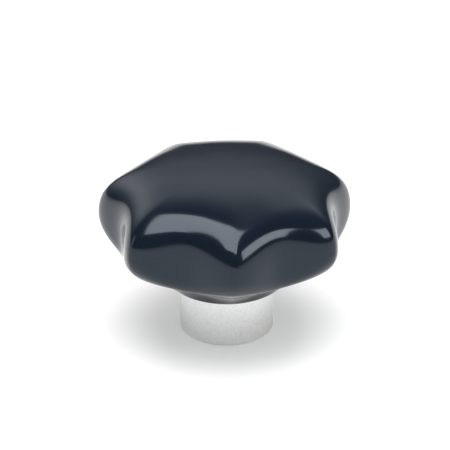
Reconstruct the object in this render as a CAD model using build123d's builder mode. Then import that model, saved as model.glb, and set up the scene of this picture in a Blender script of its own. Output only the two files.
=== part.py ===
"""Star knob: a seven-lobed moulded grip on a turned steel bush.

Millimetres, +Z up. The origin is the centre of the bush's lower face, where
the knob seats on whatever it clamps.
"""

import os
from math import sqrt

from build123d import *

# Grip, seen from above
grip_radius = 25.0      # over the lobe tips
waist_radius = 21.2     # to the bottom of the scallops
scallop_radius = 13.5
lobe_tip_radius = 5.3
lobe_count = 7

# Grip, seen from the side
overall_height = 34.0
dome_radius = 55.0
rim_rounding = 5.2      # between the dome and the lobes' sides
collar_radius = 10.4    # flat ring under the hub, round the bush
collar_height = 10.0
underside_slope = 0.73  # rise of the conical underside for each millimetre outwards
lower_rounding = 2.6

# Bush
bush_radius = 9.0
bush_top = 24.0
bush_chamfer = 0.5
groove_radius = 7.6     # anchoring groove, filled by the moulding
groove_bottom = 15.0
groove_top = 18.5
tap_drill_radius = 4.25     # M10, coarse
thread_depth = 20.0
thread_chamfer = 1.0

# The revolved blank reaches this far past the lobe tips before the star trims it
trim = 2.0


def dome_height(radius):
    """Height of the domed top at a distance from the axis."""
    return overall_height - dome_radius + sqrt(dome_radius**2 - radius**2)


def underside_height(radius):
    """Height of the conical underside at a distance from the axis."""
    return collar_height + underside_slope * (radius - collar_radius)


# --- Bush blank: turned, with an anchoring groove
with BuildPart() as bush_blank:
    with BuildSketch(Plane.XZ):
        with BuildLine():
            Polyline(
                (0, 0),
                (bush_radius, 0),
                (bush_radius, groove_bottom),
                (groove_radius, groove_bottom),
                (groove_radius, groove_top),
                (bush_radius, groove_top),
                (bush_radius, bush_top),
                (0, bush_top),
                close=True,
            )
        make_face()
    revolve(axis=Axis.Z)
    rims = bush_blank.edges().filter_by(GeomType.CIRCLE).group_by(Axis.Z)
    chamfer(rims[0] + rims[-1], bush_chamfer)

# --- Bush: the blank with a blind tapped hole from below
with BuildPart() as bush:
    add(bush_blank)
    with Locations(Plane.XY.rotated((180, 0, 0))):
        Hole(tap_drill_radius, thread_depth)
    lower_face = bush.faces().filter_by(Plane.XY).sort_by(Axis.Z)[0]
    chamfer(lower_face.inner_wires()[0].edges(), thread_chamfer)

# --- Star: the grip seen from above, a round with its rim scalloped
with BuildSketch() as star:
    Circle(grip_radius)
    with PolarLocations(waist_radius + scallop_radius, lobe_count, start_angle=-90 + 180 / lobe_count):
        Circle(scallop_radius, mode=Mode.SUBTRACT)
    fillet(star.vertices(), lobe_tip_radius)

# --- Knob body: the star as a prism, trimmed to a domed top and a conical underside
with BuildPart() as knob_body:
    with BuildSketch(Plane.XY.offset(collar_height)):
        add(star)
    extrude(amount=overall_height - collar_height)
    edge = grip_radius + trim
    with BuildSketch(Plane.XZ):
        with BuildLine():
            Line((0, collar_height), (collar_radius, collar_height))
            Line((collar_radius, collar_height), (edge, underside_height(edge)))
            Line((edge, underside_height(edge)), (edge, dome_height(edge)))
            ThreePointArc((edge, dome_height(edge)), (edge / 2, dome_height(edge / 2)), (0, overall_height))
            Line((0, overall_height), (0, collar_height))
        make_face()
    revolve(axis=Axis.Z, mode=Mode.INTERSECT)
    dome = knob_body.faces().filter_by(GeomType.SPHERE)[0]
    fillet(dome.edges().filter_by(lambda e: (e @ 0.5).Z < overall_height - 1), rim_rounding)
    cone = knob_body.faces().filter_by(GeomType.CONE).sort_by(Axis.Z)[0]
    fillet(cone.edges().filter_by(lambda e: (e @ 0.5).Z > collar_height + 2), lower_rounding)
    add(bush_blank, mode=Mode.SUBTRACT)

knob_body.part.label = "knob_body"
bush.part.label = "bush"

os.makedirs("parts", exist_ok=True)
export_step(knob_body.part, "parts/knob_body.step")
export_step(bush.part, "parts/bush.step")

for piece in (knob_body, bush):
    print(piece.part.label, round(piece.part.volume, 1), piece.part.is_valid, piece.part.bounding_box())
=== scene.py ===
# %% [markdown]
# # Star knob
#
# A star knob is screwed onto a stud and turned by hand to clamp something. This
# one is two pieces: a black moulded grip with seven lobes, and a plated steel
# bush that the grip is moulded around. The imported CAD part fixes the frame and
# the sizes, and this lesson models the finished surfaces inside them.

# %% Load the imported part
from math import cos, hypot, pi, radians, sin

import bpy
import numpy as np
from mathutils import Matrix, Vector


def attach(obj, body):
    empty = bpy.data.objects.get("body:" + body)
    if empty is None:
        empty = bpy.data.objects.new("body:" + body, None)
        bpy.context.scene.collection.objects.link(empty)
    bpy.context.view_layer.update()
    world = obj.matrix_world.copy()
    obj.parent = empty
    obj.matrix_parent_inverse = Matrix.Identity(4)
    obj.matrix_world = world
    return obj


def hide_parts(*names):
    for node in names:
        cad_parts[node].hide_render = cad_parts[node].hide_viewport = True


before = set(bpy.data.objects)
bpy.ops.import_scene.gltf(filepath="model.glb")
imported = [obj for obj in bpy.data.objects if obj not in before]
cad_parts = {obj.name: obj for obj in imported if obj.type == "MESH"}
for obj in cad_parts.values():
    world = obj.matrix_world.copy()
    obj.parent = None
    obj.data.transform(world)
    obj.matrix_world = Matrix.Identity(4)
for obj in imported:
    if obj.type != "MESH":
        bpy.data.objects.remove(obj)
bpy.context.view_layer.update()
MM = 0.001

# %% [markdown]
# ## Turning a piece on the lathe
#
# Both pieces are round in their heart, so both start as half a section drawn
# point by point beside the axis and spun once round it. Extruding a ring at a
# time would give the same rings, but the section is easier to read as a list of
# radius and height. The spin meets itself after a full turn, and its ends lie
# on the axis many times over, so the doubles are merged and the normals are
# made to point outwards.

# %% A lathe
def turn(name, section, steps):
    """Spin a section, a list of (radius, height) in millimetres, round the Z axis."""
    bpy.ops.object.select_all(action="DESELECT")
    bpy.ops.mesh.primitive_plane_add(size=MM)
    piece = bpy.context.object
    piece.name = piece.data.name = name
    bpy.context.tool_settings.mesh_select_mode = (True, False, False)
    bpy.ops.object.mode_set(mode="EDIT")
    bpy.ops.mesh.merge(type="CENTER")
    points = [Vector((radius, 0, height)) * MM for radius, height in section]
    bpy.ops.transform.translate(value=points[0])
    for last, point in zip(points, points[1:]):
        bpy.ops.mesh.extrude_vertices_move(TRANSFORM_OT_translate={"value": point - last})
    bpy.ops.mesh.select_all(action="SELECT")
    bpy.ops.mesh.spin(steps=steps, angle=2 * pi, center=(0, 0, 0), axis=(0, 0, 1))
    bpy.ops.mesh.select_all(action="SELECT")
    bpy.ops.mesh.remove_doubles(threshold=0.002 * MM)
    bpy.ops.mesh.normals_make_consistent(inside=False)
    bpy.ops.object.mode_set(mode="OBJECT")
    print(name, len(piece.data.vertices), "points")
    return piece


def reshape(piece, move):
    """Give each point the radius and height that move works out from its angle, radius and height."""
    places = np.empty(len(piece.data.vertices) * 3)
    piece.data.vertices.foreach_get("co", places)
    x, y, z = places.reshape(-1, 3).T / MM
    angle, radius = np.arctan2(y, x), np.hypot(x, y)
    radius, height = move(angle, radius, z)
    places = np.stack([radius * np.cos(angle), radius * np.sin(angle), height], axis=1) * MM
    piece.data.vertices.foreach_set("co", places.ravel())
    piece.data.update()


def bevel_rings(piece, rings, width, segments):
    """Round the edges that run round the piece at each (radius, height), in millimetres."""
    bpy.ops.object.select_all(action="DESELECT")
    piece.select_set(True)
    bpy.context.view_layer.objects.active = piece
    bpy.context.tool_settings.mesh_select_mode = (False, True, False)
    bpy.ops.object.mode_set(mode="EDIT")
    bpy.ops.mesh.select_all(action="DESELECT")
    bpy.ops.object.mode_set(mode="OBJECT")
    places = [(hypot(v.co.x, v.co.y) / MM, v.co.z / MM) for v in piece.data.vertices]
    for edge in piece.data.edges:
        ends = [places[i] for i in edge.vertices]
        edge.select = any(
            all(hypot(r - radius, z - height) < 0.01 for r, z in ends) for radius, height in rings
        )
    bpy.ops.object.mode_set(mode="EDIT")
    bpy.ops.mesh.bevel(offset=width * MM, segments=segments, affect="EDGES")
    bpy.ops.object.mode_set(mode="OBJECT")


HARD_EDGE = 40


def smooth(piece, angle):
    """Shade smoothly across every edge less sharp than the angle, in degrees."""
    bpy.ops.object.select_all(action="DESELECT")
    piece.select_set(True)
    bpy.context.view_layer.objects.active = piece
    bpy.ops.object.shade_smooth_by_angle(angle=radians(angle))


# %% [markdown]
# ## The grip's two sections
#
# Cut through a lobe, the grip is a shallow dome that rolls over into the lobe's
# side, and then an underside that narrows to a collar round the bush. Cut
# through a hollow between two lobes, it is the same shape drawn in. Each cut is
# two smooth curves that meet at the widest point, and each curve needs only its
# ends and two handles, as in a drawing program.

# %% Sections through a lobe and through a hollow
grip_height = 34.0
collar_radius = 10.69
collar_height = 10.0
TOP_RINGS = 52
UNDER_RINGS = 40


def curve(start, first_handle, second_handle, end, points):
    """Points along a cubic curve."""
    t = np.linspace(0, 1, points)[:, None]
    start, first_handle, second_handle, end = map(np.array, (start, first_handle, second_handle, end))
    return (
        (1 - t) ** 3 * start
        + 3 * t * (1 - t) ** 2 * first_handle
        + 3 * t**2 * (1 - t) * second_handle
        + t**3 * end
    )


def grip_section(widest, crown_reach, rim_reach, side_reach, cone_reach, cone_angle):
    """A cut through the grip, from the middle of the dome to the collar."""
    radius, height = widest
    rise = grip_height - height
    drop = height - collar_height
    cone_handle = cone_reach * hypot(radius - collar_radius, drop)
    collar = (collar_radius, collar_height)
    top = curve(
        (0, grip_height),
        (crown_reach * radius, grip_height),
        (radius, height + rim_reach * rise),
        widest,
        TOP_RINGS,
    )
    under = curve(
        widest,
        (radius, height - side_reach * drop),
        (
            collar_radius + cone_handle * cos(cone_angle),
            collar_height + cone_handle * sin(cone_angle),
        ),
        collar,
        UNDER_RINGS,
    )
    return np.concatenate([top, under[1:]])


lobe = grip_section((25.0, 22.80), 0.755, 0.605, 0.490, 0.454, 0.785)
hollow = grip_section((21.10, 19.96), 1.069, 0.633, 0.571, 0.681, 0.959)
print("sections:", len(lobe), "points each")

# %% [markdown]
# ## The grip
#
# The lobe's section is turned into a blank, closed inside by the cavity that
# holds the bush. Then every ring is drawn in towards the hollow's section, fully
# in the middle of a hollow and not at all on a lobe, which is what the pattern
# maker's cutter does to the mould. The share follows a cosine round the axis,
# raised to a power that makes the hollows broad and the lobes narrow.

# %% Turn the blank and draw in the hollows
LOBES = 7
first_lobe = radians(-90)
hollow_breadth = 0.714
bush_radius = 9.0
fit_gap = 0.02
bush_top = 24.0
groove = (7.6, 15.0, 18.5)

cavity = [
    (bush_radius + fit_gap, collar_height),
    (bush_radius + fit_gap, groove[1]),
    (groove[0] + fit_gap, groove[1]),
    (groove[0] + fit_gap, groove[2]),
    (bush_radius + fit_gap, groove[2]),
    (bush_radius + fit_gap, bush_top + fit_gap),
    (0, bush_top + fit_gap),
]
STEPS_PER_LOBE = 36
grip = turn("star_grip", [tuple(point) for point in lobe] + cavity, LOBES * STEPS_PER_LOBE)


def draw_in(angle, radius, height):
    """Move each point of the lobe's section its share of the way to the hollow's."""
    away = np.hypot(radius[:, None] - lobe[:, 0], height[:, None] - lobe[:, 1])
    ring = away.argmin(axis=1)
    on_section = away.min(axis=1) < 0.001
    wave = 0.5 + 0.5 * np.cos(LOBES * (angle - first_lobe))
    share = np.clip(1 - wave, 0, 1) ** hollow_breadth * on_section
    step = hollow[ring] - lobe[ring]
    return radius + share * step[:, 0], height + share * step[:, 1]


reshape(grip, draw_in)
bevel_rings(grip, [(collar_radius, collar_height)], width=0.3, segments=3)
smooth(grip, HARD_EDGE)

# %% [markdown]
# ## The bush
#
# The bush is turned from bar, with a small chamfer at each end and a groove that
# keeps it from pulling out of the moulding. Its blind hole is tapped M10. A
# thread is a ridge that climbs one pitch each turn, so the hole's wall is turned
# as many fine rings, and each point is then moved out by where it lies across
# the pitch. The groove fades out before the hole's end, as a tap leaves it.

# %% Turn the bush and cut its thread
pitch = 1.5
crest_radius = 4.25
root_radius = 5.0
root_flat = 0.19
mouth_radius = 5.25
hole_depth = 20.0
thread_end = 18.5
ring_gap = 0.1
chamfer = 0.5
FLANK_SLOPE = 3**0.5    # the flanks of a 60-degree thread

outside = [
    (0, bush_top),
    (bush_radius - chamfer, bush_top),
    (bush_radius, bush_top - chamfer),
    (bush_radius, groove[2]),
    (groove[0], groove[2]),
    (groove[0], groove[1]),
    (bush_radius, groove[1]),
    (bush_radius, chamfer),
    (bush_radius - chamfer, 0),
    (mouth_radius, 0),
]
bore = [(crest_radius, ring_gap * k) for k in range(1, round(hole_depth / ring_gap) + 1)]
bush = turn("threaded_bush", outside + bore + [(0, hole_depth)], steps=96)
bevel_rings(bush, [(bush_radius, chamfer), (bush_radius - chamfer, 0)], width=0.12, segments=2)


def cut_thread(angle, radius, height):
    """Move the hole's wall out to the thread, and to the countersink at its mouth."""
    wall = abs(radius - crest_radius) < 0.001
    across = ((height / pitch - angle / (2 * pi)) % 1 - 0.5) * pitch
    flank = np.clip(abs(across) - root_flat / 2, 0, None) * FLANK_SLOPE
    depth = root_radius - crest_radius - flank
    depth = np.clip(depth, 0, None) * np.clip((thread_end - height) / pitch, 0, 1)
    tapped = np.maximum(crest_radius + depth, mouth_radius - height)
    return np.where(wall & (height < hole_depth - 0.01), tapped, radius), height


reshape(bush, cut_thread)
smooth(bush, HARD_EDGE)

# %% [markdown]
# ## Wiring a finish
#
# A finish is a small network of nodes. Wiring it by hand hides the sums in long
# lists of links, so a wire here is a value that can be added and multiplied, and
# each sum adds its own Math node.

# %% Wires and finishes
class Wire:
    """One value in a node network. Sums with it add Math nodes."""

    def __init__(self, bench, socket):
        self.bench, self.socket = bench, socket

    def sum(self, operation, first, second):
        return self.bench.node("ShaderNodeMath", {"operation": operation}, {0: first, 1: second})

    def __add__(self, other):
        return self.sum("ADD", self, other)

    def __sub__(self, other):
        return self.sum("SUBTRACT", self, other)

    def __rsub__(self, other):
        return self.sum("SUBTRACT", other, self)

    def __mul__(self, other):
        return self.sum("MULTIPLY", self, other)

    def __pow__(self, other):
        return self.sum("POWER", self, other)

    __radd__ = __add__
    __rmul__ = __mul__


class Bench:
    """A node tree to build a finish on."""

    def __init__(self, tree):
        self.tree = tree
        self.tree.nodes.clear()

    def node(self, kind, settings=None, values=None, output=0):
        """Add a node: its settings first, then the values or wires of its sockets."""
        made = self.tree.nodes.new(kind)
        for setting, value in (settings or {}).items():
            setattr(made, setting, value)
        for socket, value in (values or {}).items():
            if isinstance(value, Wire):
                self.tree.links.new(value.socket, made.inputs[socket])
            else:
                made.inputs[socket].default_value = value
        return Wire(self, made.outputs[output]) if made.outputs else made

    def mix(self, share, first, second):
        """Mix two colours."""
        values = {0: share, 6: first, 7: second}
        return self.node("ShaderNodeMix", {"data_type": "RGBA"}, values, output=2)

    def noise(self, place, size, detail):
        """Noise whose grain has a size in millimetres."""
        values = {"Vector": place, "Scale": 1 / (size * MM), "Detail": detail}
        return self.node("ShaderNodeTexNoise", None, values)


def finish(name):
    """An empty material, its bench and the place of each point on the object."""
    material = bpy.data.materials.new(name)
    material.use_nodes = True
    bench = Bench(material.node_tree)
    return material, bench, bench.node("ShaderNodeTexCoord", output=3)


def dress(piece, material, node):
    """Give a piece its finish, its body and the CAD node it stands for."""
    piece.data.materials.clear()
    piece.data.materials.append(material)
    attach(piece, "root")
    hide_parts(node)


# %% [markdown]
# ## Black moulding
#
# The grip is a hard thermoset, nearly black with a trace of blue, and polished by
# the mould. What shows on it is mostly reflection, so the finish lives in its
# gloss: a very faint waviness from the mould, a finer grain under it, and a haze
# that changes slowly over the surface.

# %% The moulding's finish
black, bench, place = finish("black_moulding")
haze = bench.noise(place, 9, 3.0)
grain = bench.noise(place, 0.35, 2.0)
wave = bench.noise(place, 5, 1.0)
relief = bench.node(
    "ShaderNodeBump",
    None,
    {"Strength": 0.12, "Distance": 0.05 * MM, "Height": wave * 0.8 + grain * 0.06},
)
deep_black = (0.004, 0.0085, 0.016, 1)
hazy_black = (0.006, 0.011, 0.020, 1)
shader = bench.node(
    "ShaderNodeBsdfPrincipled",
    None,
    {
        "Base Color": bench.mix(haze, deep_black, hazy_black),
        "Roughness": haze * 0.08 + 0.09,
        "IOR": 1.46,
        "Specular Tint": (0.80, 0.90, 1.0, 1),
        "Normal": relief,
    },
)
bench.node("ShaderNodeOutputMaterial", None, {"Surface": shader})
dress(grip, black, "knob_body")

# %% [markdown]
# ## Plated steel
#
# Zinc plating comes out of the bath with a fine, slightly matte grain, cooler in
# some patches and warmer in others. One noise the size of the grain darkens,
# roughens and raises it together, which looks more like metal than three
# separate noises would, and a broad noise shifts its colour between patches.

# %% The plating's finish
zinc, bench, place = finish("zinc_plating")
patches = bench.noise(place, 6, 2.0)
speckle = bench.noise(place, 0.45, 4.0)
relief = bench.node(
    "ShaderNodeBump", None, {"Strength": 0.35, "Distance": 0.03 * MM, "Height": speckle}
)
cool_zinc = (0.88, 0.91, 0.94, 1)
warm_zinc = (0.96, 0.95, 0.90, 1)
grain_shade = (0.60, 0.61, 0.62, 1)
tint = bench.mix(patches, cool_zinc, warm_zinc)
shader = bench.node(
    "ShaderNodeBsdfPrincipled",
    None,
    {
        "Base Color": bench.mix(speckle**2 * 0.8, tint, grain_shade),
        "Metallic": 1.0,
        "Roughness": speckle * 0.18 + 0.34,
        "Normal": relief,
    },
)
bench.node("ShaderNodeOutputMaterial", None, {"Surface": shader})
dress(bush, zinc, "bush")

# %% [markdown]
# ## The table
#
# The knob stands on a white table that runs out of sight. Its own colour is white,
# and a little extra for the camera alone brings it to paper white without putting
# more light on the knob, so the soft shadow at the bush's foot stays.

# %% A white table
bpy.ops.object.select_all(action="DESELECT")
bpy.ops.mesh.primitive_plane_add(size=6, location=(0, 0, -0.05 * MM))
table = bpy.context.object
table.name = "table"
paper, bench, _ = finish("white_table")
to_camera = bench.node("ShaderNodeLightPath", output=0)
to_gloss = bench.node("ShaderNodeLightPath", output=3)
matte = bench.node("ShaderNodeBsdfDiffuse", None, {"Color": (0.82, 0.82, 0.82, 1)})
lift = bench.node("ShaderNodeEmission", None, {"Strength": to_camera * 0.20 + to_gloss * 0.12})
both = bench.node("ShaderNodeAddShader", None, {0: matte, 1: lift})
bench.node("ShaderNodeOutputMaterial", None, {"Surface": both})
table.data.materials.append(paper)

# %% [markdown]
# ## Light
#
# Gloss is only as good as what it mirrors, and what lights a knob well isn't
# what mirrors well in it. So the two jobs are split. The key lamp overhead lights
# the knob and the table, and is kept out of the gloss. The sheen lamp and one on
# each side are seen in the gloss alone: they draw the broad light along the rim
# and the shorter ones beside it. The room lights everything a little from all
# round, and the gloss sees it as a dark wall with three soft patches of light,
# which give the dome its slow change from light to dark.

# %% Lamps and room
def soft_lamp(name, place, aim, width, length, power):
    """A rectangular lamp, its place and aim in millimetres."""
    bpy.ops.object.light_add(type="AREA", location=Vector(place) * MM)
    lamp = bpy.context.object
    lamp.name = name
    lamp.data.shape = "RECTANGLE"
    lamp.data.size, lamp.data.size_y = width * MM, length * MM
    lamp.data.energy = power
    lamp.rotation_euler = (Vector(aim) - Vector(place)).to_track_quat("-Z", "Y").to_euler()
    return lamp


key = soft_lamp("key_lamp", (0, -60, 600), (0, 0, 20), 600, 600, 3.8)
key.visible_glossy = False
sheen = soft_lamp("sheen_lamp", (-75, -215, 580), (0, 0, 20), 620, 680, 7.0)
sheen.visible_diffuse = False
left = soft_lamp("left_lamp", (-620, -60, 160), (0, 0, 20), 260, 240, 0.18)
right = soft_lamp("right_lamp", (560, -330, 260), (0, 0, 20), 280, 260, 1.3)
for lamp in (left, right):
    lamp.visible_diffuse = False

room = bpy.data.worlds.new("room")
bpy.context.scene.world = room
room.use_nodes = True
bench = Bench(room.node_tree)
direction = bench.node("ShaderNodeTexCoord", output=0)


def glow(centre, tightness, strength):
    """A soft patch of light on the room's wall, round a direction."""
    values = {0: direction, 1: Vector(centre).normalized()}
    facing = bench.node("ShaderNodeVectorMath", {"operation": "DOT_PRODUCT"}, values, output=1)
    inside = bench.node("ShaderNodeMath", {"operation": "MAXIMUM"}, {0: facing, 1: 0.0})
    return inside**tightness * strength


walls = (
    glow((-0.45, 0.76, 0.48), 22.0, 1.3)
    + glow((0.08, 0.80, 0.60), 26.0, 0.6)
    + glow((0.50, 0.52, 0.70), 20.0, 1.2)
    + 0.08
)
seen = bench.node("ShaderNodeLightPath", output=0)
mirrored = bench.node("ShaderNodeLightPath", output=3)
soft_daylight = 0.75
strength = seen + mirrored * walls + (1 - seen - mirrored) * soft_daylight
backdrop = bench.node(
    "ShaderNodeBackground", None, {"Color": (1, 1, 1, 1), "Strength": strength}
)
bench.node("ShaderNodeOutputWorld", None, {"Surface": backdrop})

# %% [markdown]
# ## Camera
#
# A long lens from well back looks down at the knob by about 26 degrees, which
# keeps the perspective gentle, as in a catalogue.

# %% A long lens
FOCAL_LENGTH = 356.8
aim_height = 21.70 * MM
aim_to_the_left = 0.313 * MM
distance = 856.5 * MM
azimuth, elevation = radians(-94.16), radians(26.41)
sideways = Vector((-sin(azimuth), cos(azimuth), 0))
aim = Vector((0, 0, aim_height)) - sideways * aim_to_the_left
towards = Vector((cos(elevation) * cos(azimuth), cos(elevation) * sin(azimuth), sin(elevation)))
bpy.ops.object.camera_add(location=aim + towards * distance)
camera = bpy.context.object
camera.rotation_euler = (-towards).to_track_quat("-Z", "Y").to_euler()
camera.data.sensor_width = 36
camera.data.lens = FOCAL_LENGTH
camera.data.clip_end = 20
bpy.context.scene.camera = camera
bpy.context.scene.view_settings.view_transform = "Standard"
